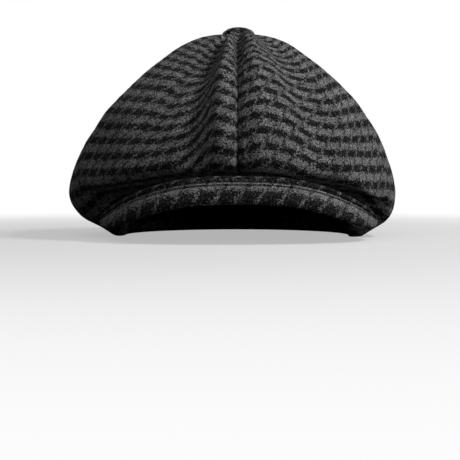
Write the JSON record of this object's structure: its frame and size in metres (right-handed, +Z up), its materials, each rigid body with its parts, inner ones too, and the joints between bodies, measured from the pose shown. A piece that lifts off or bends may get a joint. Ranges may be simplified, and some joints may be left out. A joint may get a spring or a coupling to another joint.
{
  "type": "newsboy flat cap",
  "caption": "Big soft flat cap of quarter panels in a dark houndstooth tweed, its puffed crown folding over a short stitched peak, with a covered button on top.",
  "frame": {"origin": "on the surface that the cap lies on, under the middle of its box", "axes": "+Z up, the peak points to -Y, +X is on the right of someone who faces the peak"},
  "size_m": [0.2595, 0.2852, 0.1669],
  "materials": {
    "check_tweed": "thick brushed wool tweed in a black and dark grey houndstooth check",
    "band_cloth": "plain black woven cloth, matt"
  },
  "bodies": {
    "root": {"crown_front_left": "check_tweed", "crown_front_right": "check_tweed", "crown_back_left": "check_tweed", "crown_back_right": "check_tweed", "peak": "check_tweed", "crown_button": "check_tweed", "headband": "band_cloth"}
  },
  "joints": []
}
